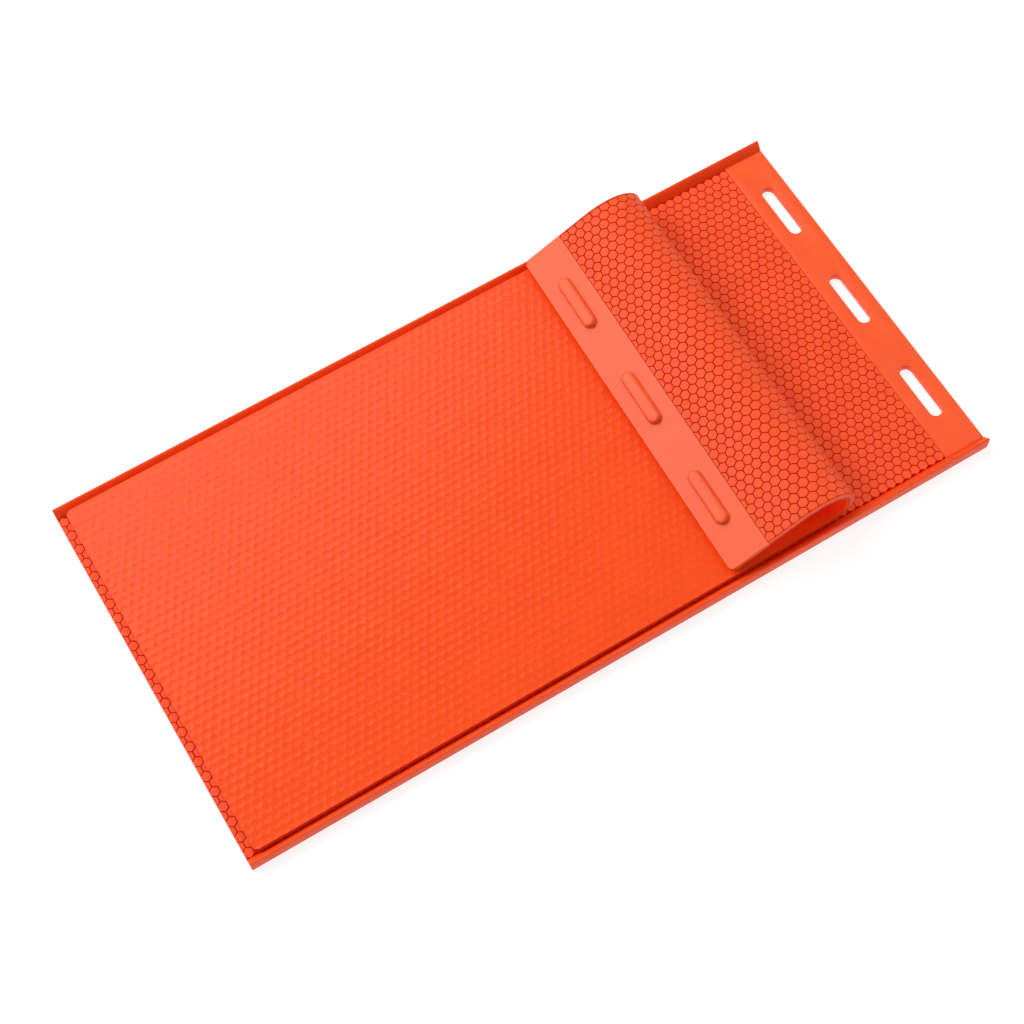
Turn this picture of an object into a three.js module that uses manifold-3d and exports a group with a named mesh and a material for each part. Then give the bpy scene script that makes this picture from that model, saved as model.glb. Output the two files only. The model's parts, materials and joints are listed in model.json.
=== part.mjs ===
// Two-piece moulded mat: a railed base mat and a cover mat that lies between the rails, its locking
// end folded back over itself. Millimetres, +Z up, origin under the middle of the base mat.
// +X runs along the mat towards the locking end, +Y towards the far rail.

import * as THREE from "three";
import { mergeVertices } from "three/addons/utils/BufferGeometryUtils.js";
import Module from "manifold-3d";

const wasm = await Module();
wasm.setup();

// Driving dimensions of both mouldings
const BASE_LENGTH = 300;
const BASE_WIDTH = 150;
const NUB_PITCH = 3.5;
const SHEET_THICKNESS = 3.0; // web and nubs together
const WEB_THICKNESS = 1.2;
const LOCK_STRIP_LENGTH = 16.5; // plain border at the locking end

// Rail section: a foot at the sheet's top, a 45-degree inner face, a narrow ridge, a steep outer wall
const RAIL_FOOT = 3.25; // in from the outer wall
const RAIL_HEIGHT = 6.0;
const RIDGE_INNER = 0.9; // in from the outer wall
const RIDGE_OUTER = 0.35;
const SHOULDER_OUTER = 0.2; // the ridge's outer corner is chamfered down to this
const SHOULDER_DROP = 0.35;

// Locking slots in the base mat, and the bosses of the cover mat that press into them
const LOCK_COUNT = 3;
const LOCK_SPACING = 45;
const SLOT_LENGTH = 22.8;
const SLOT_WIDTH = 5.2;
const BOSS_LENGTH = 22.4;
const BOSS_WIDTH = 4.8;
const BOSS_HEIGHT = 2.5;
const BOSS_EDGE = 0.6; // chamfer round the boss's top
const ROUND_END_SEGMENTS = 10;

// Cover mat, lying on the base mat's nubs
const COVER_WIDTH = 142.8;
const COVER_INSET = NUB_PITCH; // one row of the base's nubs shows at the plain end
const COVER_CORNER = 2.0;
const LAY_GAP = 0.2;

// The fold: the cover leaves the base at LIFT_OFF_X and bends through equal spans, one after another,
// each turning through its own angle. A flex line stands for the bend of each span.
const LIFT_OFF_X = 81.2;
const FOLD_SKEW = THREE.MathUtils.degToRad(0.6); // the fold line isn't quite square to the rails
const FLEX_SPAN = 5;
const FLEX_TURNS = [28.0, 32.8, 38.6, 35.0, 26.6, 20.6, 15.3, 9.7].map(THREE.MathUtils.degToRad);
const FLEX_GAP = 0.4;

const HALF_LENGTH = BASE_LENGTH / 2;
const HALF_WIDTH = BASE_WIDTH / 2;
const HALF_COVER = COVER_WIDTH / 2;
const FIELD_END_X = HALF_LENGTH - LOCK_STRIP_LENGTH;
const LOCK_X = HALF_LENGTH - LOCK_STRIP_LENGTH / 2;
const COVER_TOP = 2 * SHEET_THICKNESS + LAY_GAP;
const NEUTRAL_Z = COVER_TOP - WEB_THICKNESS / 2; // the middle of the cover's web, where it bends
const SMOOTH_FACE = WEB_THICKNESS / 2; // from the neutral plane to the smooth face
const NUB_FACE = SMOOTH_FACE - SHEET_THICKNESS; // from the neutral plane to the nubs' tops

const lockPlaces = Array.from(
  { length: LOCK_COUNT },
  (_, i) => (i - (LOCK_COUNT - 1) / 2) * LOCK_SPACING,
);

function silicone(color, roughness) {
  return new THREE.MeshStandardMaterial({ color, roughness, metalness: 0 });
}

const baseSilicone = silicone(0xf2492a, 0.5);
const coverSilicone = silicone(0xfa5a30, 0.45);
const lockSilicone = silicone(0xfb6a40, 0.5);

function named(name, geometry, material) {
  const mesh = new THREE.Mesh(geometry, material);
  mesh.name = name;
  return mesh;
}

// A flat plate of the given outline, between two heights.
function plate(shape, low, high) {
  const geometry = new THREE.ExtrudeGeometry(shape, { depth: high - low, bevelEnabled: false });
  return geometry.translate(0, 0, low);
}

// A slot-shaped outline: two half circles along Y, joined by straight sides.
function slotOutline(target, x, y, length, width) {
  const radius = width / 2;
  const reach = length / 2 - radius;
  target.moveTo(x + radius, y - reach);
  target.lineTo(x + radius, y + reach);
  target.absarc(x, y + reach, radius, 0, Math.PI, false);
  target.lineTo(x - radius, y - reach);
  target.absarc(x, y - reach, radius, Math.PI, 2 * Math.PI, false);
  return target;
}

// A polygon's outline with every corner listed as [x, y, radius].
function roundedOutline(corners) {
  const shape = new THREE.Shape();
  corners.forEach(([x, y, radius], i) => {
    const here = new THREE.Vector2(x, y);
    const before = new THREE.Vector2(...corners.at(i - 1)).sub(here).setLength(radius);
    const after = new THREE.Vector2(...corners[(i + 1) % corners.length]).sub(here).setLength(radius);
    const start = here.clone().add(before);
    const end = here.clone().add(after);
    if (i === 0) shape.moveTo(start.x, start.y);
    else shape.lineTo(start.x, start.y);
    if (radius > 0) shape.quadraticCurveTo(x, y, end.x, end.y);
  });
  shape.closePath();
  return shape;
}

function solidOf(geometry) {
  const bare = geometry.clone();
  bare.deleteAttribute("normal");
  bare.deleteAttribute("uv");
  const merged = mergeVertices(bare, 1e-3);
  return new wasm.Manifold(
    new wasm.Mesh({
      numProp: 3,
      vertProperties: merged.attributes.position.array,
      triVerts: new Uint32Array(merged.index.array),
    }),
  );
}

function geometryOf(solid) {
  const mesh = solid.getMesh();
  const geometry = new THREE.BufferGeometry();
  geometry.setAttribute("position", new THREE.BufferAttribute(mesh.vertProperties, mesh.numProp));
  geometry.setIndex(new THREE.BufferAttribute(mesh.triVerts, 1));
  geometry.computeVertexNormals();
  return geometry;
}

// The base mat's sheet of web and nubs, from the plain end to the locking strip.
function baseField() {
  const y = HALF_WIDTH - RAIL_FOOT;
  const outline = roundedOutline([
    [-HALF_LENGTH, -y, 0],
    [FIELD_END_X, -y, 0],
    [FIELD_END_X, y, 0],
    [-HALF_LENGTH, y, 0],
  ]);
  return named("base_nub_field", plate(outline, 0, SHEET_THICKNESS), baseSilicone);
}

// The plain strip at the base mat's locking end, with its row of through slots.
function baseLockStrip() {
  const y = HALF_WIDTH - RAIL_FOOT;
  const outline = roundedOutline([
    [FIELD_END_X, -y, 0],
    [HALF_LENGTH, -y, 0],
    [HALF_LENGTH, y, 0],
    [FIELD_END_X, y, 0],
  ]);
  outline.holes = lockPlaces.map((place) =>
    slotOutline(new THREE.Path(), LOCK_X, place, SLOT_LENGTH, SLOT_WIDTH),
  );
  const geometry = new THREE.ExtrudeGeometry(outline, {
    depth: SHEET_THICKNESS,
    bevelEnabled: false,
    curveSegments: ROUND_END_SEGMENTS,
  });
  return named("base_lock_strip", geometry, lockSilicone);
}

// A raised rail along one long side, on side +1 (far) or -1 (near).
function rail(name, side) {
  const section = [
    [HALF_WIDTH - RAIL_FOOT, 0],
    [HALF_WIDTH, 0],
    [HALF_WIDTH - SHOULDER_OUTER, RAIL_HEIGHT - SHOULDER_DROP],
    [HALF_WIDTH - RIDGE_OUTER, RAIL_HEIGHT],
    [HALF_WIDTH - RIDGE_INNER, RAIL_HEIGHT],
    [HALF_WIDTH - RAIL_FOOT, SHEET_THICKNESS],
  ].map(([y, z]) => new THREE.Vector2(side * y, z));
  if (side < 0) section.reverse();
  const geometry = new THREE.ExtrudeGeometry(new THREE.Shape(section), {
    depth: BASE_LENGTH,
    bevelEnabled: false,
  });
  const alongX = new THREE.Matrix4().makeBasis(
    new THREE.Vector3(0, 1, 0),
    new THREE.Vector3(0, 0, 1),
    new THREE.Vector3(1, 0, 0),
  );
  geometry.applyMatrix4(alongX).translate(-HALF_LENGTH, 0, 0);
  return named(name, geometry, baseSilicone);
}

// The flex lines as { distance, lift, turn }: the place of each along the flat cover, midway along its
// span, and its height over the web's middle, where turning about it keeps the bent span's length.
function flexLines() {
  return FLEX_TURNS.map((turn, i) => ({
    distance: (i + 1 / 2) * FLEX_SPAN,
    lift: FLEX_SPAN / turn - FLEX_SPAN / (2 * Math.tan(turn / 2)),
    turn,
  }));
}

// A point of the cover laid flat, as distance past the lift-off line and place along the fold line.
function flatToFold(x, y) {
  const cos = Math.cos(FOLD_SKEW);
  const sin = Math.sin(FOLD_SKEW);
  return [(x - LIFT_OFF_X) * cos - y * sin, (x - LIFT_OFF_X) * sin + y * cos];
}

// Where the cover's long edge, on side +1 or -1, crosses a line parallel to the fold.
function edgeAt(distance, side) {
  return (side * HALF_COVER + distance * Math.sin(FOLD_SKEW)) / Math.cos(FOLD_SKEW);
}

// The cover's flat panel, from the plain end to the first flex line.
function coverPanel() {
  const left = -HALF_LENGTH + COVER_INSET;
  const end = (FLEX_SPAN - FLEX_GAP) / 2;
  const endX = (side) => LIFT_OFF_X + end * Math.cos(FOLD_SKEW) + edgeAt(end, side) * Math.sin(FOLD_SKEW);
  const outline = roundedOutline([
    [left, -HALF_COVER, COVER_CORNER],
    [endX(-1), -HALF_COVER, 0],
    [endX(1), HALF_COVER, 0],
    [left, HALF_COVER, COVER_CORNER],
  ]);
  return named("cover_panel", plate(outline, COVER_TOP - SHEET_THICKNESS, COVER_TOP), coverSilicone);
}

// One slat of the cover between two flex lines, in the fold's flat frame.
function flexSlat(name, before, after) {
  const near = before + FLEX_GAP / 2;
  const far = after - FLEX_GAP / 2;
  const outline = roundedOutline([
    [near, edgeAt(near, -1), 0],
    [far, edgeAt(far, -1), 0],
    [far, edgeAt(far, 1), 0],
    [near, edgeAt(near, 1), 0],
  ]);
  return named(name, plate(outline, NUB_FACE, SMOOTH_FACE), coverSilicone);
}

// The nubbed stretch between the last flex line and the cover's locking strip.
function coverTail(before) {
  const near = before + FLEX_GAP / 2;
  const stripEdge = FIELD_END_X - FLEX_GAP;
  const outline = roundedOutline([
    [near, edgeAt(near, -1), 0],
    [...flatToFold(stripEdge, -HALF_COVER), 0],
    [...flatToFold(stripEdge, HALF_COVER), 0],
    [near, edgeAt(near, 1), 0],
  ]);
  return named("cover_tail", plate(outline, NUB_FACE, SMOOTH_FACE), coverSilicone);
}

// A boss that presses into a slot, standing on the nub side of the locking strip.
function boss(place) {
  const outline = slotOutline(
    new THREE.Shape(),
    LOCK_X,
    place,
    BOSS_LENGTH - 2 * BOSS_EDGE,
    BOSS_WIDTH - 2 * BOSS_EDGE,
  );
  const root = SHEET_THICKNESS / 2; // how deep the boss reaches into the strip
  const geometry = new THREE.ExtrudeGeometry(outline, {
    depth: BOSS_HEIGHT + root - 2 * BOSS_EDGE,
    bevelThickness: BOSS_EDGE,
    bevelSize: BOSS_EDGE,
    bevelSegments: 2,
    curveSegments: ROUND_END_SEGMENTS,
  });
  return geometry.translate(0, 0, NUB_FACE - BOSS_HEIGHT + BOSS_EDGE);
}

// The plain strip at the cover's free end with its bosses, in the fold's flat frame.
function coverLockStrip() {
  const outline = roundedOutline([
    [FIELD_END_X, -HALF_COVER, 0],
    [HALF_LENGTH, -HALF_COVER, COVER_CORNER],
    [HALF_LENGTH, HALF_COVER, COVER_CORNER],
    [FIELD_END_X, HALF_COVER, 0],
  ]);
  let solid = solidOf(plate(outline, NUB_FACE, SMOOTH_FACE));
  for (const place of lockPlaces) solid = solid.add(solidOf(boss(place)));
  const geometry = geometryOf(solid);
  geometry.translate(-LIFT_OFF_X, 0, 0).rotateZ(FOLD_SKEW);
  return named("cover_lock_strip", geometry, lockSilicone);
}

// A group whose contents, given in the fold's flat frame, are turned about a flex line.
function turnedAbout({ distance, lift, turn }) {
  const hinge = new THREE.Group();
  hinge.position.set(distance, 0, lift);
  hinge.rotation.y = -turn;
  const contents = new THREE.Group();
  contents.position.set(-distance, 0, -lift);
  hinge.add(contents);
  return { hinge, contents };
}

// The folded part of the cover: each flex line turns everything beyond it.
function fold() {
  const root = new THREE.Group();
  root.position.set(LIFT_OFF_X, 0, NEUTRAL_Z);
  root.rotation.z = -FOLD_SKEW;
  const lines = flexLines();
  let frame = root;
  lines.forEach((line, i) => {
    const { hinge, contents } = turnedAbout(line);
    frame.add(hinge);
    frame = contents;
    const next = lines[i + 1];
    if (next) frame.add(flexSlat("cover_slat_" + (i + 1), line.distance, next.distance));
    else frame.add(coverTail(line.distance), coverLockStrip());
  });
  return root;
}

const mat = new THREE.Group();
mat.add(baseField(), baseLockStrip(), rail("base_rail_near", -1), rail("base_rail_far", 1));
mat.add(coverPanel(), fold());

export default mat;
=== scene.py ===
"""A two-piece moulded silicone mat: a railed base mat and a cover mat, its locking end folded back.

Lengths are given in millimetres and become metres when a surface is placed. The flat cover mat is
described by x along it, y across it and h above the middle of its web, towards its smooth face.
"""

import json
import logging
import math
from dataclasses import dataclass, field
from enum import Enum
from typing import Callable, Sequence

import bmesh
import bpy
import numpy as np
from mathutils import Matrix, Vector


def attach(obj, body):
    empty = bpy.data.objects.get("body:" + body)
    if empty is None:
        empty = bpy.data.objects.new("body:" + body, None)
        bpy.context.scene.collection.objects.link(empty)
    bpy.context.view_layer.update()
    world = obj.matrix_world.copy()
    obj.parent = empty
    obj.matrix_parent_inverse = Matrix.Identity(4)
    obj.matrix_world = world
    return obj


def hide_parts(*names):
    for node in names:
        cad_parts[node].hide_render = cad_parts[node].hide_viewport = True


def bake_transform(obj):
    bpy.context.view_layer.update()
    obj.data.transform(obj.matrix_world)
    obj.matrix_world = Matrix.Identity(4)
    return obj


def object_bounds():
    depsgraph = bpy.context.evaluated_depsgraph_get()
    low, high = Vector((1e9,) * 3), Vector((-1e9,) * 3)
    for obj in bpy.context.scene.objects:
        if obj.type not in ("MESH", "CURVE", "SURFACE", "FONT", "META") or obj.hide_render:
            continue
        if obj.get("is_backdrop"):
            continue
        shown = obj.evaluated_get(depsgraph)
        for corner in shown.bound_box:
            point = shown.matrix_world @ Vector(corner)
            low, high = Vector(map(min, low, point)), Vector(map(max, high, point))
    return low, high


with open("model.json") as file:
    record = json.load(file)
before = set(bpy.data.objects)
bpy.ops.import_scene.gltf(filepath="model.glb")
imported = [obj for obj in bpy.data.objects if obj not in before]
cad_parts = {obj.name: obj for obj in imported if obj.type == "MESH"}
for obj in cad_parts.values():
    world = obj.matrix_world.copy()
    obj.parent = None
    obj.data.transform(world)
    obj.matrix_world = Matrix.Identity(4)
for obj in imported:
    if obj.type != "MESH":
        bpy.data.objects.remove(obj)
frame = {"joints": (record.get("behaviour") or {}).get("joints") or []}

MM = 0.001
LOG = logging.getLogger("moulded_mat")

Placing = Callable[[np.ndarray], np.ndarray]
Line = Callable[[np.ndarray], np.ndarray]


class Side(Enum):
    """The two long sides of the mat."""

    NEAR = -1
    FAR = 1


class Relief(Enum):
    """What a finish carries on top of its fine grain."""

    PLAIN = "plain"
    NUBS = "nubs"
    SINKS = "sinks"


# ---------------------------------------------------------------- finishes


@dataclass(frozen=True)
class Silicone:
    """One finish of the satin moulded silicone.

    Attributes:
        name: the material's name.
        colour: the lit colour, linear RGB.
        roughness: the mean roughness of the skin.
        relief: what the finish carries besides its grain.
        deep: the red of the painted shade at the foot of the grooves and of the painted glow; a plain
            finish doesn't use it.
        shine: the strength of its mirror reflection.
        glow: how much of the light passes under the skin.
        reach: how far red light passes under the skin.
        grain: height of the fine mould grain.
        painted_glow: strength of the painted glow, a red emission that stands in for light coming through
            the silicone, in the grooves and inside the fold.
    """

    name: str
    colour: tuple[float, float, float]
    roughness: float
    relief: Relief = Relief.PLAIN
    deep: tuple[float, float, float] = (0.42, 0.004, 0.0)
    shine: float = 0.3
    glow: float = 0.35
    reach: float = 1.5
    grain: float = 0.012
    painted_glow: float = 0.16

    def build(self) -> bpy.types.Material:
        """Make the material's nodes.

        Returns:
            The finished material.
        """
        material = bpy.data.materials.new(self.name)
        material.use_nodes = True
        material.diffuse_color = (*self.colour, 1.0)
        tree = Nodes(material.node_tree)
        shader = tree.find("BSDF_PRINCIPLED")
        place = tree.sheet_place() if self.relief is Relief.SINKS else tree.object_place()
        mottle = tree.noise(place, 0.09, 3.0)
        tint = tree.mix(
            tree.spread(mottle, 0.35, 0.65, 0.0, 1.0),
            tuple(0.955 * c for c in self.colour),
            self.colour,
        )
        # Painted glow: a red emission, scaled by the foot mask, stands in for light coming through the
        # silicone in the grooves and inside the fold.
        if self.relief is not Relief.PLAIN:
            foot = tree.spread(tree.attribute("foot"), 0.0, 1.0, 0.0, 1.0)
            shader.inputs["Emission Color"].default_value = (*self.deep, 1.0)
            tree.join(tree.sum("MULTIPLY", foot, self.painted_glow), shader.inputs["Emission Strength"])
        # Painted shade: the nub finish darkens to the deep red towards the foot of each groove.
        if self.relief is Relief.NUBS:
            tint = tree.mix(foot, tint, self.deep)
        tree.join(tint, shader.inputs["Base Color"])
        rough = tree.spread(
            tree.noise(place, 1.1, 2.0), 0.3, 0.7, self.roughness - 0.03, self.roughness + 0.03
        )
        tree.join(rough, shader.inputs["Roughness"])
        shader.inputs["Specular IOR Level"].default_value = self.shine
        shader.inputs["Subsurface Weight"].default_value = self.glow
        shader.inputs["Subsurface Radius"].default_value = (1.0, 0.12, 0.03)
        shader.inputs["Subsurface Scale"].default_value = self.reach * MM
        grain = tree.bump(tree.noise(place, 2.6, 2.0), self.grain * MM)
        if self.relief is Relief.SINKS:
            grain = tree.bump(tree.sink_height(), SINK_DEPTH * MM, grain)
        tree.join(grain, shader.inputs["Normal"])
        return material


class Nodes:
    """A material's node tree, with one call for each kind of node used."""

    def __init__(self, tree: bpy.types.NodeTree) -> None:
        """Take the tree to build in."""
        self.tree = tree

    def find(self, kind: str) -> bpy.types.Node:
        """The tree's first node of a kind."""
        return next(n for n in self.tree.nodes if n.type == kind)

    def join(self, source: bpy.types.NodeSocket, target: bpy.types.NodeSocket) -> None:
        """Link two sockets."""
        self.tree.links.new(source, target)

    def feed(self, socket: bpy.types.NodeSocket, value: object) -> None:
        """Set a socket from a link or a constant.

        Args:
            socket: the input to set.
            value: another node's output, or a number, triple or colour.
        """
        if isinstance(value, bpy.types.NodeSocket):
            self.join(value, socket)
        elif isinstance(value, tuple) and socket.type == "RGBA":
            socket.default_value = (*value, 1.0)
        else:
            socket.default_value = value

    def object_place(self) -> bpy.types.NodeSocket:
        """Object coordinates, in millimetres."""
        place = self.tree.nodes.new("ShaderNodeTexCoord").outputs["Object"]
        return self.vector("MULTIPLY", place, (1 / MM, 1 / MM, 1 / MM))

    def sheet_uv(self) -> bpy.types.NodeSocket:
        """The place on the flat sheet, counted in nubs along it and pairs of rows across it."""
        node = self.tree.nodes.new("ShaderNodeUVMap")
        node.uv_map = "sheet"
        return node.outputs["UV"]

    def sheet_place(self) -> bpy.types.NodeSocket:
        """The place on the flat sheet, in millimetres."""
        return self.vector("MULTIPLY", self.sheet_uv(), (NUB_PITCH, 2 * ROW_PITCH, 1.0))

    def attribute(self, name: str) -> bpy.types.NodeSocket:
        """A number stored on the mesh."""
        node = self.tree.nodes.new("ShaderNodeAttribute")
        node.attribute_name = name
        return node.outputs["Fac"]

    def vector(self, operation: str, *values: object) -> bpy.types.NodeSocket:
        """A vector sum; length and distance give a number.

        Args:
            operation: the name of the vector operation.
            values: its inputs in order.

        Returns:
            The result.
        """
        node = self.tree.nodes.new("ShaderNodeVectorMath")
        node.operation = operation
        for socket, value in zip(node.inputs, values):
            self.feed(socket, value)
        return node.outputs["Value" if operation == "LENGTH" else "Vector"]

    def sum(self, operation: str, *values: object) -> bpy.types.NodeSocket:
        """A sum of numbers, by the name of the math operation."""
        node = self.tree.nodes.new("ShaderNodeMath")
        node.operation = operation
        for socket, value in zip(node.inputs, values):
            self.feed(socket, value)
        return node.outputs[0]

    def noise(
        self, place: bpy.types.NodeSocket, scale: float, detail: float
    ) -> bpy.types.NodeSocket:
        """Soft noise, its scale in waves per millimetre."""
        node = self.tree.nodes.new("ShaderNodeTexNoise")
        self.feed(node.inputs["Vector"], place)
        node.inputs["Scale"].default_value = scale
        node.inputs["Detail"].default_value = detail
        return node.outputs["Fac"]

    def spread(
        self, value: bpy.types.NodeSocket, low: float, high: float, to_low: float, to_high: float
    ) -> bpy.types.NodeSocket:
        """Carry low..high over to to_low..to_high, smoothly at both ends."""
        node = self.tree.nodes.new("ShaderNodeMapRange")
        node.interpolation_type = "SMOOTHSTEP"
        for socket, item in zip(node.inputs, (value, low, high, to_low, to_high)):
            self.feed(socket, item)
        return node.outputs["Result"]

    def mix(self, factor: object, first: object, second: object) -> bpy.types.NodeSocket:
        """Mix two colours."""
        node = self.tree.nodes.new("ShaderNodeMix")
        node.data_type = "RGBA"
        colours = [s for s in node.inputs if s.type == "RGBA"]
        self.feed(node.inputs[0], factor)
        self.feed(colours[0], first)
        self.feed(colours[1], second)
        return next(s for s in node.outputs if s.type == "RGBA")

    def bump(
        self, height: bpy.types.NodeSocket, depth: float, below: bpy.types.NodeSocket | None = None
    ) -> bpy.types.NodeSocket:
        """A bump of the given depth in metres, on top of another normal."""
        node = self.tree.nodes.new("ShaderNodeBump")
        node.inputs["Strength"].default_value = 1.0
        node.inputs["Distance"].default_value = depth
        self.feed(node.inputs["Height"], height)
        if below is not None:
            self.join(below, node.inputs["Normal"])
        return node.outputs["Normal"]

    def sink_height(self) -> bpy.types.NodeSocket:
        """The faint sink over every nub, as a height from 0 to 1.

        The nubs' middles are two interleaved rectangular lattices, one half a step off the other both
        ways. The distance to the nearest middle is the lesser of the distances in the two, and the
        height rises with it from the sink's floor to its rim.
        """
        lattices = []
        for shift in ((0.5, 0.5, 0.0), (0.0, 0.0, 0.0)):
            moved = self.vector("ADD", self.sheet_uv(), shift)
            offset = self.vector("SUBTRACT", self.vector("FRACTION", moved), (0.5, 0.5, 0.0))
            sized = self.vector("MULTIPLY", offset, (NUB_PITCH, 2 * ROW_PITCH, 0.0))
            lattices.append(self.vector("LENGTH", sized))
        return self.spread(self.sum("MINIMUM", *lattices), SINK_FLOOR, SINK_RIM, 0.0, 1.0)


# ---------------------------------------------------------------- surfaces


@dataclass
class Surface:
    """A surface under construction: flat places with heights, its faces and how far down each point is, as
    the mask of painted shade and glow.

    Attributes:
        points: rows of x, y, h in millimetres.
        faces: rows of three or four point numbers, a triangle's last one being -1.
        foot: the mask of painted groove shade and painted glow: 1 at the foot of a groove or inside the
            fold, 0 on the open faces, for each point.
    """

    points: np.ndarray
    faces: np.ndarray
    foot: np.ndarray

    @staticmethod
    def together(parts: Sequence["Surface"]) -> "Surface":
        """Join surfaces into one, without merging their points."""
        starts = np.cumsum([0] + [len(p.points) for p in parts[:-1]])
        faces = [np.where(p.faces < 0, -1, p.faces + s) for p, s in zip(parts, starts)]
        return Surface(
            np.concatenate([p.points for p in parts]),
            np.concatenate(faces),
            np.concatenate([p.foot for p in parts]),
        )

    def piece(self, name: str, placing: Placing, crease: float = 38.0) -> bpy.types.Object:
        """Make the object, with its flat places kept as a UV map and its depths, the mask of painted shade
        and glow, as an attribute.

        Args:
            name: the piece's name.
            placing: takes rows of x, y, h to rows of x, y, z in millimetres.
            crease: the angle past which an edge is sharp, in degrees.

        Returns:
            The object, linked to the scene, at the origin.
        """
        mesh = bpy.data.meshes.new(name)
        sizes = np.where(self.faces[:, 3] < 0, 3, 4)
        corners = self.faces[self.faces >= 0]
        starts = np.concatenate(([0], np.cumsum(sizes)[:-1]))
        mesh.vertices.add(len(self.points))
        mesh.vertices.foreach_set("co", (placing(self.points) * MM).astype(np.float32).ravel())
        mesh.loops.add(len(corners))
        mesh.loops.foreach_set("vertex_index", corners.astype(np.int32))
        mesh.polygons.add(len(self.faces))
        mesh.polygons.foreach_set("loop_start", starts.astype(np.int32))
        mesh.update(calc_edges=True)
        mesh.polygons.foreach_set("use_smooth", np.ones(len(self.faces), bool))
        along = (self.points[:, 0] + HALF_LENGTH) / NUB_PITCH - 0.5
        across = (self.points[:, 1] / ROW_PITCH + ROWS // 2) / 2
        sheet = mesh.uv_layers.new(name="sheet")
        sheet.data.foreach_set(
            "uv", np.stack([along[corners], across[corners]], 1).astype(np.float32).ravel()
        )
        depth = mesh.attributes.new("foot", "FLOAT", "POINT")
        depth.data.foreach_set("value", self.foot.astype(np.float32))
        shell = bmesh.new()
        shell.from_mesh(mesh)
        bmesh.ops.remove_doubles(shell, verts=shell.verts, dist=WELD * MM)
        bmesh.ops.recalc_face_normals(shell, faces=shell.faces)
        shell.to_mesh(mesh)
        shell.free()
        mesh.set_sharp_from_angle(angle=math.radians(crease))
        made = bpy.data.objects.new(name, mesh)
        bpy.context.scene.collection.objects.link(made)
        return made


def strips(rows: int, columns: int, closed: bool = False) -> np.ndarray:
    """The quads of a grid of points numbered row by row.

    Args:
        rows: how many rows of points.
        columns: how many points in a row.
        closed: whether each row joins up end to end.

    Returns:
        Rows of four point numbers.
    """
    i = np.arange(rows - 1)[:, None] * columns
    j = np.arange(columns if closed else columns - 1)[None, :]
    k = (j + 1) % columns
    return np.stack([i + j, i + k, i + columns + k, i + columns + j], -1).reshape(-1, 4)


@dataclass(frozen=True)
class Plate:
    """A plate between two lines across the sheet, with eased edges and rounded corners.

    Attributes:
        left: gives the x of the plate's left end for rows of y.
        right: gives the x of its right end.
        half_width: half its width across the sheet.
        low: height of its lower face.
        high: height of its upper face.
        step: length of the grid's cells along the sheet.
        ease: how far its edges are eased.
    """

    left: Line
    right: Line
    half_width: float
    low: float
    high: float
    step: float = 12.0
    ease: float = 0.18
    eased_left: bool = False
    eased_right: bool = False
    corner_left: float = 0.0
    corner_right: float = 0.0

    def across(self) -> np.ndarray:
        """The grid's places across the sheet: close together round the corners, wide apart between."""
        corner = max(self.corner_left, self.corner_right, self.ease)
        turn = np.linspace(0, np.pi / 2, 9)
        ends = corner * (1 - np.cos(turn)) if corner > self.ease else np.array([0.0, self.ease])
        middle = np.linspace(corner, 2 * self.half_width - corner, 13)[1:-1]
        return np.concatenate([ends, middle, 2 * self.half_width - ends[::-1]]) - self.half_width

    def recess(self, y: np.ndarray, corner: float) -> np.ndarray:
        """How far an end draws back at y: the gap between a corner's circle and its square."""
        beyond = np.clip(np.abs(y) - (self.half_width - corner), 0, corner)
        return corner - np.sqrt(np.maximum(corner**2 - beyond**2, 0))

    def surface(self) -> Surface:
        """Lay the plate out: both faces are one grid, and a wall joins their borders.

        Returns:
            The closed plate.
        """
        y = self.across()
        x0 = self.left(y) + self.recess(y, self.corner_left)
        x1 = self.right(y) - self.recess(y, self.corner_right)
        count = max(2, math.ceil(float(np.max(x1 - x0)) / self.step) + 1)
        inner0 = x0 + self.ease * self.eased_left
        inner1 = x1 - self.ease * self.eased_right
        share = np.linspace(0, 1, count)[:, None]
        lines = [inner0 + (inner1 - inner0) * share]
        lines = ([x0[None]] if self.eased_left else []) + lines
        lines += [x1[None]] if self.eased_right else []
        x = np.concatenate(lines)
        rows, columns = x.shape
        drop = np.zeros((rows, columns))
        drop[:, [0, -1]] = self.ease
        if self.eased_left:
            drop[0] = self.ease
        if self.eased_right:
            drop[-1] = self.ease
        upper = np.stack([x, np.broadcast_to(y, x.shape), self.high - drop], -1).reshape(-1, 3)
        lower = np.stack([x, np.broadcast_to(y, x.shape), self.low + drop], -1).reshape(-1, 3)
        grid = strips(rows, columns)
        number = np.arange(rows * columns).reshape(rows, columns)
        border = np.concatenate(
            [number[0, :-1], number[:-1, -1], number[-1, :0:-1], number[:0:-1, 0]]
        )
        after = np.roll(border, -1)
        size = rows * columns
        wall = np.stack([border, after, after + size, border + size], -1)
        faces = np.concatenate([grid, grid[:, ::-1] + size, wall])
        points = np.concatenate([upper, lower])
        return Surface(points, faces, np.zeros(len(points)))


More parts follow.
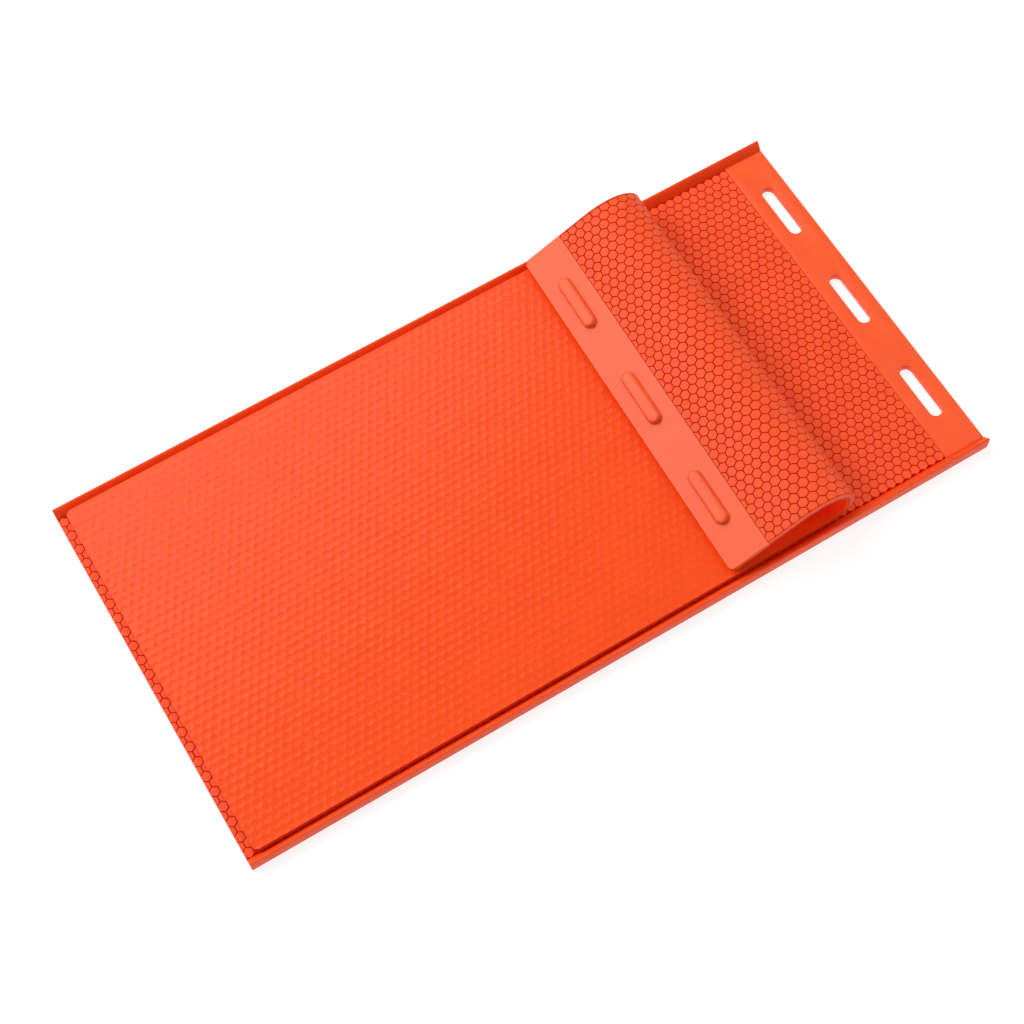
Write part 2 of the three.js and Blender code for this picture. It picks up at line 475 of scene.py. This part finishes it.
@dataclass(frozen=True)
class Nubs:
    """The honeycomb of nubs on one face of a sheet.

    Rows run along the sheet. In every second row the first and last nub are cut in half, so that all
    rows end on the same two lines.

    Attributes:
        left: x of the line where the rows begin.
        right: x of the line where they end.
        half_width: no nub reaches farther across than this.
        root: height of the web's face that they stand on.
        crown: height of their tops.
    """

    left: float
    right: float
    half_width: float
    root: float
    crown: float

    def centres(self) -> np.ndarray:
        """The middles of all nubs, as rows of x and y."""
        full = round((self.right - self.left) / NUB_PITCH)
        row = np.arange(ROWS) - ROWS // 2
        even = self.left + (np.arange(full) + 0.5) * NUB_PITCH
        odd = self.left + np.arange(full + 1) * NUB_PITCH
        places = [
            np.stack(np.meshgrid(xs, row[start::2] * ROW_PITCH, indexing="ij"), -1).reshape(-1, 2)
            for start, xs in ((0, even), (1, odd))
        ]
        return np.concatenate(places)

    def surface(self, centres: np.ndarray) -> Surface:
        """Stand a nub on each centre.

        A nub is a stack of hexagons. Each is the nub's own hexagon drawn in by the level's inset, and
        kept that far inside the lines where the rows end.

        Args:
            centres: rows of x and y.

        Returns:
            All the nubs, each a closed block sunk a little into the web.
        """
        turn = np.arange(6) * np.pi / 3 + np.pi / 6
        hexagon = np.stack([np.cos(turn), np.sin(turn)], -1) * NUB_PITCH / math.sqrt(3)
        towards = math.copysign(1.0, self.crown - self.root)
        levels = [(NUB_PARTING, self.root - NUB_SINK * towards, 1.0)] + [
            (inset, self.crown - towards * drop, foot) for inset, drop, foot in NUB_LEVELS
        ]
        rings = []
        for inset, height, _ in levels:
            ring = centres[:, None, :] + hexagon * (1 - 2 * inset / NUB_PITCH)
            x = np.clip(ring[..., 0], self.left + inset, self.right - inset)
            y = np.clip(ring[..., 1], inset - self.half_width, self.half_width - inset)
            rings.append(np.stack([x, y, np.full_like(x, height)], -1))
        tip = np.stack(
            [
                np.clip(centres[:, 0], self.left + NUB_PITCH / 4, self.right - NUB_PITCH / 4),
                centres[:, 1],
                np.full(len(centres), self.crown),
            ],
            -1,
        )[:, None]
        points = np.concatenate(rings + [tip], 1)
        per = points.shape[1]
        around = np.arange(6)
        side = strips(len(levels), 6, closed=True)
        top = np.stack(
            [
                around + per - 7,
                (around + 1) % 6 + per - 7,
                np.full(6, per - 1),
                np.full(6, -1),
            ],
            -1,
        )
        under = np.array([[0, 5, 4, 3], [0, 3, 2, 1]])
        one = np.concatenate([side, top, under])
        shift = (np.arange(len(centres)) * per)[:, None, None]
        faces = np.where(one < 0, -1, one + shift).reshape(-1, 4)
        # Painted groove shade and glow: full at the sunk foot and groove, fading to none at the crown.
        foot = np.repeat([level[2] for level in levels] + [0.0], [6] * len(levels) + [1])
        return Surface(points.reshape(-1, 3), faces, np.tile(foot, len(centres)))


@dataclass(frozen=True)
class Slot:
    """A slot-shaped outline: two half circles along y, joined by straight sides.

    Attributes:
        x: its middle along the mat.
        y: its middle across the mat.
        length: its full length across the mat.
        width: its full width along the mat.
    """

    x: float
    y: float
    length: float
    width: float
    on_arc: int = 18
    on_side: int = 9

    def outline(self, inset: float = 0.0) -> np.ndarray:
        """Points round the outline, drawn in by inset: half circles, then the straight sides."""
        radius = self.width / 2
        reach = self.length / 2 - radius
        turn = np.linspace(0, np.pi, self.on_arc, endpoint=False)
        run = np.linspace(1, -1, self.on_side, endpoint=False)
        size = max(radius - inset, 0.0)
        half = [
            np.stack([size * np.cos(turn), reach + size * np.sin(turn)], -1),
            np.stack([np.full_like(run, -size), reach * run], -1),
        ]
        loop = np.concatenate(half + [-h for h in half])
        return loop + (self.x, self.y)

    def frame(self, half_x: float, half_y: float) -> np.ndarray:
        """Points round a rectangle about the slot, one for each point of the outline."""
        turn = np.linspace(0, np.pi, self.on_arc, endpoint=False)
        run = np.linspace(1, -1, self.on_side, endpoint=False)
        half = [
            np.stack([half_x * (1 - 2 * turn / np.pi), np.full_like(turn, half_y)], -1),
            np.stack([np.full_like(run, -half_x), half_y * run], -1),
        ]
        loop = np.concatenate(half + [-h for h in half])
        return loop + (self.x, self.y)


# ---------------------------------------------------------------- sizes

BASE_LENGTH = 300.0
BASE_WIDTH = 150.0
HALF_LENGTH = BASE_LENGTH / 2
HALF_WIDTH = BASE_WIDTH / 2
NUB_PITCH = 3.5
ROW_PITCH = NUB_PITCH * math.sqrt(3) / 2
ROWS = 47
SHEET = 3.0
WEB = 1.2
STRIP = 16.5
FIELD_END = HALF_LENGTH - STRIP
LOCK_X = HALF_LENGTH - STRIP / 2
LOCK_SPACING = 45.0
LOCK_PLACES = (-LOCK_SPACING, 0.0, LOCK_SPACING)
SLOT_LENGTH = 22.8
SLOT_WIDTH = 5.2
SLOT_EASE = 0.28
BOSS_LENGTH = 22.4
BOSS_WIDTH = 4.8
BOSS_HEIGHT = 2.5
BOSS_EDGE = 0.8

# The rail's section: places in from the outer wall, and heights
RAIL_FOOT = 3.25
RAIL_HEIGHT = 6.0
RIDGE_INNER = 0.9
RIDGE_OUTER = 0.35
SHOULDER_OUTER = 0.2
SHOULDER_DROP = 0.35
RAIL_END_EASE = 0.35

HALF_COVER = 71.4
COVER_LEFT = -HALF_LENGTH + NUB_PITCH
COVER_CORNER = 2.0
COVER_RIM = 0.4
RIM_SETBACK = 0.02
RIM_SINK = 0.1
RIM_EASE = 0.08
COVER_TOP = 6.2
SMOOTH_FACE = WEB / 2
NUB_FACE = SMOOTH_FACE - SHEET
NEUTRAL = COVER_TOP - SMOOTH_FACE
LIFT_OFF = 81.2
SPAN = 5.0
WELD = 0.002

# How far inside its own hexagon a nub's sunk foot stays, and how deep the foot is sunk into the web
NUB_PARTING = 0.01
NUB_SINK = 0.15

# Inset, drop below the crown and painted groove shade of a nub's other hexagons, from the groove to the
# crown
NUB_LEVELS = ((0.015, 0.85, 1.0), (0.1, 0.28, 0.7), (0.24, 0.04, 0.0))

# The sinks over the nubs: their depth, and how far from a nub's middle the floor ends and the rim is
SINK_DEPTH = 0.08
SINK_FLOOR = 0.5
SINK_RIM = 1.75

SATIN = Silicone("base_silicone_satin", (0.93, 0.108, 0.024), 0.34, shine=0.23)
RAIL = Silicone("base_silicone_rail", (0.97, 0.085, 0.014), 0.4, shine=0.08)
# The nub finish's deep colour is the red of its painted groove shade and painted glow.
HONEYCOMB = Silicone(
    "silicone_honeycomb", (0.9, 0.1, 0.027), 0.5, Relief.NUBS, (0.62, 0.006, 0.0), shine=0.15
)
# The smooth finish's painted glow paints red light on the inside of the fold.
SMOOTH = Silicone(
    "cover_silicone_smooth", (0.93, 0.08, 0.0095), 0.22, Relief.SINKS, (1.0, 0.006, 0.001),
    shine=0.2, painted_glow=0.2,
)


def flat_line(x: float) -> Line:
    """A straight line across the sheet at x, square to the rails."""
    return lambda y: np.full_like(y, x)


# ---------------------------------------------------------------- the fold


@dataclass
class Fold:
    """The path that the middle of the cover's web follows past the line where it leaves the base.

    Each span is an arc that turns through its own flex line's angle. It ends where turning everything
    beyond it about the flex line puts it. Places in the fold's plane are complex numbers, distance
    along plus i times height.

    Attributes:
        turns: the angle of each span, in radians.
        skew: how far the fold line is from square to the rails, in radians.
    """

    turns: Sequence[float]
    skew: float
    marks: list[complex] = field(init=False)
    run: np.ndarray = field(init=False)
    path: np.ndarray = field(init=False)
    angle: np.ndarray = field(init=False)
    last: tuple[complex, complex] = field(init=False)

    def __post_init__(self) -> None:
        """Work the path out once, at closely spaced stations."""
        turned, moved, heading = 1 + 0j, 0j, 0.0
        self.marks = [0j]
        runs, paths, angles = [np.zeros(1)], [np.zeros(1, complex)], [np.zeros(1)]
        share = np.linspace(0, 1, 61)[1:]
        for k, turn in enumerate(self.turns):
            pivot = (k + 0.5) * SPAN + 1j * (SPAN / turn - SPAN / (2 * math.tan(turn / 2)))
            spin = complex(math.cos(turn), math.sin(turn))
            moved = turned * pivot * (1 - spin) + moved
            chord = turned * (np.exp(1j * turn * share) - 1) * SPAN / (1j * turn)
            runs.append((k + share) * SPAN)
            paths.append(self.marks[-1] + chord)
            angles.append(heading + turn * share)
            turned *= spin
            self.marks.append(turned * (k + 1) * SPAN + moved)
            heading += turn
        self.run, self.path, self.angle = (np.concatenate(a) for a in (runs, paths, angles))
        self.last = (turned, moved)

    def place(self, points: np.ndarray) -> np.ndarray:
        """Take flat places to the folded cover.

        A point before the lift-off line stays flat, one past the last span moves as one rigid plate,
        and one between stands h off the path along the path's normal.

        Args:
            points: rows of x, y, h.

        Returns:
            Rows of x, y, z in millimetres.
        """
        x, y, h = points.T
        cos, sin = math.cos(self.skew), math.sin(self.skew)
        s = (x - LIFT_OFF) * cos - y * sin
        t = (x - LIFT_OFF) * sin + y * cos
        phi = np.interp(s, self.run, self.angle)
        path = np.interp(s, self.run, self.path.real) + 1j * np.interp(s, self.run, self.path.imag)
        bent = path + 1j * h * np.exp(1j * phi)
        rigid = self.last[0] * (s + 1j * h) + self.last[1]
        w = np.where(s < 0, s + 1j * h, np.where(s > self.run[-1], rigid, bent))
        return np.stack(
            [LIFT_OFF + w.real * cos + t * sin, t * cos - w.real * sin, NEUTRAL + w.imag], -1
        )

    def across(self, distance: float) -> Line:
        """The line on the flat sheet that lies at a distance past the lift-off line."""
        cos, sin = math.cos(self.skew), math.sin(self.skew)
        return lambda y: LIFT_OFF + (distance + y * sin) / cos

    def distance(self, centres: np.ndarray) -> np.ndarray:
        """How far past the lift-off line flat places are."""
        return (centres[:, 0] - LIFT_OFF) * math.cos(self.skew) - centres[:, 1] * math.sin(self.skew)

    def mark(self, index: int) -> tuple[float, float, float]:
        """The end of a span on the middle of the web, in metres."""
        w = self.marks[index]
        x = LIFT_OFF + w.real * math.cos(self.skew)
        return x * MM, -w.real * math.sin(self.skew) * MM, (NEUTRAL + w.imag) * MM


def fold_from_frame() -> Fold:
    """The fold that the frame's flex lines give."""
    flex = [j for j in frame["joints"] if j["name"].startswith(("cover_fold", "cover_flex"))]
    axis = flex[0]["axis"]
    turns = [math.radians(j["range_deg"][1]) for j in flex]
    return Fold(turns, math.atan2(axis[0], axis[1]))


def dress(
    piece: bpy.types.Object, finish: bpy.types.Material, slot: str, *nodes: str
) -> bpy.types.Object:
    """Give a piece its finish and hide the CAD nodes that it replaces.

    Args:
        piece: the piece.
        finish: its material.
        slot: the record's material slot; not used.
        nodes: the CAD nodes that it replaces.

    Returns:
        The same piece.
    """
    piece.data.materials.clear()
    piece.data.materials.append(finish)
    if nodes:
        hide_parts(*nodes)
    LOG.info("%s: %d points, %d faces", piece.name, len(piece.data.vertices), len(piece.data.polygons))
    return piece


def on_table(points: np.ndarray) -> np.ndarray:
    """Leave places as they are: the base mat's heights are counted from the table."""
    return points


# ---------------------------------------------------------------- the base mat


@dataclass
class BaseMat:
    """The lower moulding: a honeycombed sheet, a slotted strip and two rails.

    Attributes:
        satin: finish of the strip.
        skin: finish of the rails.
        honeycomb: finish of the nubbed sheet.
    """

    satin: bpy.types.Material
    skin: bpy.types.Material
    honeycomb: bpy.types.Material

    def build(self) -> None:
        """Make the base mat's four pieces."""
        self.nub_field()
        self.lock_strip()
        for side in Side:
            self.rail(side)

    def nub_field(self) -> bpy.types.Object:
        """The web between the rails, with the nubs standing on it."""
        inner = HALF_WIDTH - RAIL_FOOT
        web = Plate(
            flat_line(-HALF_LENGTH), flat_line(FIELD_END), inner, 0.0, WEB, eased_left=True
        ).surface()
        # Painted groove shade and glow over the whole upper face of the web, which shows only between the
        # nubs.
        web.foot[: len(web.foot) // 2] = 1.0
        nubs = Nubs(-HALF_LENGTH, FIELD_END, inner, WEB, SHEET)
        field_surface = Surface.together([web, nubs.surface(nubs.centres())])
        piece = field_surface.piece("nub_field", on_table)
        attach(piece, "base_mat")
        return dress(piece, self.honeycomb, "base_silicone", "base_nub_field")

    def lock_strip(self) -> bpy.types.Object:
        """The plain strip at the locking end: a flat web round each slot, thickened and eased."""
        inner = HALF_WIDTH - RAIL_FOOT
        parts = []
        for place in LOCK_PLACES:
            slot = Slot(LOCK_X, place, SLOT_LENGTH, SLOT_WIDTH)
            loops = [slot.outline(), slot.frame(STRIP / 2, LOCK_SPACING / 2)]
            flat = np.concatenate(loops)
            points = np.column_stack([flat, np.full(len(flat), SHEET / 2)])
            parts.append(Surface(points, strips(2, len(loops[0]), closed=True), np.zeros(len(points))))
        outer = LOCK_SPACING * len(LOCK_PLACES) / 2
        cell = parts[0].points[parts[0].points[:, 1] <= WELD - outer]
        rim = cell[np.argsort(cell[:, 0])]
        for side in Side:
            ends = rim.copy()
            ends[:, 1] = side.value * outer
            border = ends.copy()
            border[:, 1] = side.value * inner
            margin = np.concatenate([ends, border])
            parts.append(Surface(margin, strips(2, len(ends)), np.zeros(len(margin))))
        piece = Surface.together(parts).piece("lock_strip", on_table)
        thicken(piece, SHEET, SLOT_EASE)
        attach(piece, "base_mat")
        return dress(piece, self.satin, "base_silicone", "base_lock_strip")

    def rail(self, side: Side) -> bpy.types.Object:
        """A rail: its section, with every corner rounded except the two at the ends of its inner face,
        carried along the mat's side.

        Args:
            side: which long side it stands on.

        Returns:
            The rail's piece.
        """
        corners = np.array(
            [
                [HALF_WIDTH - RAIL_FOOT, 0.0],
                [HALF_WIDTH, 0.0],
                [HALF_WIDTH - SHOULDER_OUTER, RAIL_HEIGHT - SHOULDER_DROP],
                [HALF_WIDTH - RIDGE_OUTER, RAIL_HEIGHT],
                [HALF_WIDTH - RIDGE_INNER, RAIL_HEIGHT],
                [HALF_WIDTH - RAIL_FOOT, SHEET],
            ]
        )
        radii = np.array([0.0, 0.3, 0.12, 0.12, 0.35, 0.0])
        section = rounded(corners, radii)
        middle = section.mean(0)
        eased = HALF_LENGTH - RAIL_END_EASE
        stations = np.array([-HALF_LENGTH, -eased, eased, HALF_LENGTH])
        drawn = np.array([RAIL_END_EASE, 0.0, 0.0, RAIL_END_EASE])
        rings = []
        for x, inset in zip(stations, drawn):
            ring = middle + (section - middle) * (1 - inset / SHEET)
            rings.append(np.column_stack([np.full(len(ring), x), side.value * ring[:, 0], ring[:, 1]]))
        ends = [np.array([[x, side.value * middle[0], middle[1]]]) for x in stations[[0, -1]]]
        points = np.concatenate(rings + ends)
        count = len(section)
        around = np.arange(count)
        nothing = np.full(count, -1)
        caps = [
            np.stack([base + around, base + (around + 1) % count, np.full(count, tip), nothing], -1)
            for base, tip in ((0, len(rings) * count), ((len(rings) - 1) * count, len(rings) * count + 1))
        ]
        faces = np.concatenate([strips(len(rings), count, closed=True)] + caps)
        rail = Surface(points, faces, np.zeros(len(points)))
        name = f"rail_{side.name.lower()}"
        piece = rail.piece(name, on_table, crease=50.0)
        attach(piece, "base_mat")
        return dress(piece, self.skin, "base_silicone", f"base_{name}")


def rounded(corners: np.ndarray, radii: np.ndarray, steps: int = 5) -> np.ndarray:
    """Round a closed outline's corners: each becomes a quadratic curve that starts and ends its
    radius away along the two sides, with the corner as its control point.

    Args:
        corners: rows of two places.
        radii: one for each corner; 0 keeps it sharp.
        steps: points on each curve.

    Returns:
        The outline's points.
    """
    before = np.roll(corners, 1, 0) - corners
    after = np.roll(corners, -1, 0) - corners
    start = corners + before / np.linalg.norm(before, axis=1)[:, None] * radii[:, None]
    end = corners + after / np.linalg.norm(after, axis=1)[:, None] * radii[:, None]
    u = np.linspace(0, 1, steps)[None, :, None]
    curve = (1 - u) ** 2 * start[:, None] + 2 * u * (1 - u) * corners[:, None] + u**2 * end[:, None]
    points = curve.reshape(-1, 2)
    keep = np.linalg.norm(points - np.roll(points, 1, 0), axis=1) > WELD
    return points[keep]


def thicken(piece: bpy.types.Object, thickness: float, ease: float) -> None:
    """Turn a flat face into a plate about itself and ease its edges.

    Args:
        piece: the flat piece.
        thickness: how thick it becomes.
        ease: how far its edges are eased.
    """
    solid = piece.modifiers.new("thickness", "SOLIDIFY")
    solid.thickness = thickness * MM
    solid.offset = 0.0
    solid.use_even_offset = True
    bevel = piece.modifiers.new("eased_edges", "BEVEL")
    bevel.width = ease * MM
    bevel.segments = 2
    bevel.limit_method = "ANGLE"
    bevel.angle_limit = math.radians(50)


# ---------------------------------------------------------------- the cover mat


@dataclass
class CoverMat:
    """The upper moulding: flat panel, bent spans, tail and locking strip.

    Attributes:
        fold: the path of its folded part.
        satin: finish of the locking strip.
        honeycomb: finish of its nubbed face.
        smooth: finish of its smooth face.
    """

    fold: Fold
    satin: bpy.types.Material
    honeycomb: bpy.types.Material
    smooth: bpy.types.Material

    def build(self) -> None:
        """Make the cover's pieces, from the panel to the locking strip."""
        nubs = Nubs(COVER_LEFT, FIELD_END, HALF_COVER - COVER_RIM, -SMOOTH_FACE, NUB_FACE)
        centres = nubs.centres()
        past = self.fold.distance(centres)
        bends = len(self.fold.turns)
        ends = SPAN * np.arange(bends + 1)
        slats = [f"cover_slat_{k}" for k in range(1, bends)]
        bodies = ["cover_panel", *slats, "cover_free_end"]
        panel = self.sheet(
            "cover_sheet", flat_line(COVER_LEFT), self.fold.across(0.0), nubs, centres[past < 0],
            eased_left=True, corner_left=COVER_CORNER,
        )
        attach(panel, bodies[0])
        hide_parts("cover_panel")
        for k in range(bends):
            inside = (past >= ends[k]) & (past < ends[k + 1])
            bend = self.sheet(
                f"cover_bend_{k + 1}", self.fold.across(ends[k]), self.fold.across(ends[k + 1]),
                nubs, centres[inside], step=0.55,
            )
            self.fold.mark(k)
            self.fold.mark(k + 1)
            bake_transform(bend)
            if k < len(slats):
                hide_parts(slats[k])
        tail = self.sheet(
            "cover_tail_sheet", self.fold.across(ends[-1]), flat_line(FIELD_END), nubs,
            centres[past >= ends[-1]],
        )
        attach(tail, bodies[-1])
        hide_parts("cover_tail")
        self.lock_strip()

    def sheet(
        self,
        name: str,
        left: Line,
        right: Line,
        nubs: Nubs,
        centres: np.ndarray,
        step: float = 12.0,
        **edges: object,
    ) -> bpy.types.Object:
        """A stretch of the cover's web with its nubs.

        Args:
            name: the piece's name.
            left: the line where it begins on the flat sheet.
            right: the line where it ends.
            nubs: the honeycomb.
            centres: the middles of the nubs that stand on it.
            step: length of the web's cells along the sheet.
            edges: the plate's easing and corners.

        Returns:
            The piece, dressed but not yet riding.
        """
        web = Plate(left, right, HALF_COVER, -SMOOTH_FACE, SMOOTH_FACE, step, **edges).surface()
        upper = len(web.points) // 2
        # Painted groove shade and glow on the web's nub face; painted red glow on its smooth face, rising
        # over the fold's first two spans.
        web.foot[upper:] = 1.0
        web.foot[:upper] = np.clip(self.fold.distance(web.points[:upper]) / (2 * SPAN), 0, 1)
        rims = [self.rim(left, right, step, side) for side in Side]
        piece = Surface.together([web, nubs.surface(centres), *rims]).piece(name, self.fold.place)
        dress(piece, self.honeycomb, "cover_silicone")
        piece.data.materials.append(self.smooth)
        smooth_faces(piece, upper)
        return piece

    def rim(self, left: Line, right: Line, step: float, side: Side) -> Surface:
        """The thin wall that closes the grooves off along a long side.

        Args:
            left: the line where it begins.
            right: the line where it ends.
            step: length of its cells along the sheet.
            side: which long side it runs along.

        Returns:
            The closed wall, its upper edge sunk a little into the web.
        """
        middle = side.value * (HALF_COVER - COVER_RIM / 2 - RIM_SETBACK)
        wall = Plate(
            lambda y: np.maximum(left(y + middle), COVER_LEFT + COVER_CORNER),
            lambda y: right(y + middle),
            COVER_RIM / 2, NUB_FACE, RIM_SINK - SMOOTH_FACE, step, ease=RIM_EASE,
        ).surface()
        wall.points[:, 1] += middle
        return wall

    def lock_strip(self) -> bpy.types.Object:
        """The plain strip at the free end, with three soft-edged bosses on its nub side."""
        plate = Plate(
            flat_line(FIELD_END), flat_line(HALF_LENGTH), HALF_COVER, NUB_FACE, SMOOTH_FACE,
            step=4.0, ease=0.3, eased_right=True, corner_right=COVER_CORNER,
        )
        parts = [plate.surface()] + [self.boss(place) for place in LOCK_PLACES]
        piece = Surface.together(parts).piece("cover_lock_end", self.fold.place)
        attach(piece, "cover_free_end")
        return dress(piece, self.satin, "cover_silicone", "cover_lock_strip")

    def boss(self, place: float) -> Surface:
        """A boss: a small fillet at its root, then its outline drawn in more and more as it rises, so
        that its edge is a quarter round and its top a shallow crown closing on the middle line.

        Args:
            place: its middle across the mat.

        Returns:
            The closed boss.
        """
        slot = Slot(LOCK_X, place, BOSS_LENGTH, BOSS_WIDTH)
        turn = np.linspace(0, np.pi / 2, 7)
        root = np.array([[-0.4, -0.4], [-0.4, 0.0], [-0.15, 0.08], [0.0, 0.35]])
        round_edge = np.column_stack(
            [
                0.06 + BOSS_EDGE * (1 - np.cos(turn)),
                BOSS_HEIGHT - BOSS_EDGE + BOSS_EDGE * np.sin(turn) * 0.94,
            ]
        )
        crown = np.array([[1.7, BOSS_HEIGHT], [BOSS_WIDTH / 2, BOSS_HEIGHT]])
        rings = [
            np.column_stack([slot.outline(i), np.full(len(slot.outline()), NUB_FACE - r)])
            for i, r in np.concatenate([root, round_edge, crown])
        ]
        count = len(rings[0])
        points = np.concatenate(rings + [[[LOCK_X, place, NUB_FACE + 0.4]]])
        around = np.arange(count)
        base = np.stack(
            [around, (around + 1) % count, np.full(count, len(points) - 1), np.full(count, -1)], -1
        )
        faces = np.concatenate([strips(len(rings), count, closed=True), base])
        return Surface(points, faces, np.zeros(len(points)))


def smooth_faces(piece: bpy.types.Object, count: int) -> None:
    """Give the smooth finish to the faces whose points are all among the first count points.

    Args:
        piece: a cover sheet, its upper grid's points first.
        count: how many points the upper grid has.
    """
    mesh = piece.data
    corners = np.empty(len(mesh.loops), np.int32)
    mesh.loops.foreach_get("vertex_index", corners)
    starts = np.empty(len(mesh.polygons), np.int32)
    mesh.polygons.foreach_get("loop_start", starts)
    highest = np.maximum.reduceat(corners, starts)
    mesh.polygons.foreach_set("material_index", (highest < count).astype(np.int32))


# ---------------------------------------------------------------- the studio


@dataclass(frozen=True)
class Softbox:
    """A soft area light.

    Attributes:
        name: the light's name.
        place: where it stands, in metres.
        aim: the point that it faces.
        size: its width and height.
        power: its power in watts.
    """

    name: str
    place: tuple[float, float, float]
    aim: tuple[float, float, float]
    size: tuple[float, float]
    power: float

    def build(self) -> None:
        """Hang the light."""
        lamp = bpy.data.lights.new(self.name, "AREA")
        lamp.shape = "RECTANGLE"
        lamp.size, lamp.size_y = self.size
        lamp.energy = self.power
        hung = bpy.data.objects.new(self.name, lamp)
        hung.location = self.place
        towards = Vector(self.aim) - Vector(self.place)
        hung.rotation_euler = towards.to_track_quat("-Z", "Y").to_euler()
        bpy.context.scene.collection.objects.link(hung)


@dataclass
class Studio:
    """A plain pale floor, an even white surround, soft lights and the camera.

    Attributes:
        camera_place: where the camera stands, in metres.
        forward: where it looks.
        right: what is right in its view.
        lens: its focal length on a 36 mm sensor.
    """

    camera_place: tuple[float, float, float] = (-0.15728, -0.26471, 0.66148)
    forward: tuple[float, float, float] = (0.2036, 0.3541, -0.9128)
    right: tuple[float, float, float] = (0.85697, -0.5153, -0.00859)
    lens: float = 71.51
    surround: float = 0.36
    lights: tuple[Softbox, ...] = (
        Softbox("key", (-0.72, 0.42, 0.85), (0.0, 0.0, 0.0), (0.6, 0.6), 5.0),
        Softbox("back", (-0.23, 0.765, 1.0), (0.0, 0.0, 0.0), (1.3, 0.8), 9.8),
        Softbox("fill", (1.0, -0.15, 0.85), (0.1, 0.0, 0.0), (0.9, 0.9), 4.0),
    )

    def build(self) -> None:
        """Set the studio up."""
        scene = bpy.context.scene
        scene.view_settings.view_transform = "Standard"
        world = bpy.data.worlds.new("surround")
        scene.world = world
        world.use_nodes = True
        background = next(n for n in world.node_tree.nodes if n.type == "BACKGROUND")
        background.inputs["Color"].default_value = (1.0, 1.0, 1.0, 1.0)
        background.inputs["Strength"].default_value = self.surround
        self.floor()
        for light in self.lights:
            light.build()
        self.camera()

    def floor(self) -> None:
        """The floor: one wide quad, a little below the mat's underside."""
        mesh = bpy.data.meshes.new("floor")
        reach, low = 6.0, -0.0002
        square = [(-reach, -reach, low), (reach, -reach, low), (reach, reach, low), (-reach, reach, low)]
        mesh.from_pydata(square, [], [(0, 1, 2, 3)])
        floor = bpy.data.objects.new("floor", mesh)
        bpy.context.scene.collection.objects.link(floor)
        paper = bpy.data.materials.new("white_paper")
        paper.use_nodes = True
        tree = Nodes(paper.node_tree)
        shader = tree.find("BSDF_PRINCIPLED")
        shade = tree.mix(tree.noise(tree.object_place(), 0.02, 2.0), (0.25, 0.25, 0.25), (0.27, 0.27, 0.27))
        tree.join(shade, shader.inputs["Base Color"])
        shader.inputs["Roughness"].default_value = 0.9
        shader.inputs["Specular IOR Level"].default_value = 0.1
        shader.inputs["Emission Color"].default_value = (1.0, 1.0, 1.0, 1.0)
        shader.inputs["Emission Strength"].default_value = 0.8
        mesh.materials.append(paper)
        floor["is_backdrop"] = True

    def camera(self) -> None:
        """The camera, turned so that its own axes are the given ones."""
        forward = Vector(self.forward).normalized()
        right = (Vector(self.right) - Vector(self.right).dot(forward) * forward).normalized()
        up = right.cross(forward)
        turned = Matrix((right, up, -forward)).transposed().to_4x4()
        lens = bpy.data.cameras.new("camera")
        lens.lens = self.lens
        lens.sensor_width = 36.0
        lens.clip_start = 0.01
        eye = bpy.data.objects.new("camera", lens)
        eye.matrix_world = Matrix.Translation(self.camera_place) @ turned
        bpy.context.scene.collection.objects.link(eye)
        bpy.context.scene.camera = eye


def box_of(bounds: object) -> list[float]:
    """A bounds result as a plain list of numbers."""
    return [float(v) for corner in bounds for v in (corner if hasattr(corner, "__len__") else [corner])]


def main() -> None:
    """Build the studio, the base mat and the cover mat."""
    logging.basicConfig(level=logging.INFO, format="%(name)s %(message)s")
    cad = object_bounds()
    Studio().build()
    satin, skin, honeycomb, smooth = (f.build() for f in (SATIN, RAIL, HONEYCOMB, SMOOTH))
    BaseMat(satin, skin, honeycomb).build()
    CoverMat(fold_from_frame(), satin, honeycomb, smooth).build()
    {"cad": box_of(cad), "visual": box_of(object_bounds())}


if __name__ == "__main__":
    main()
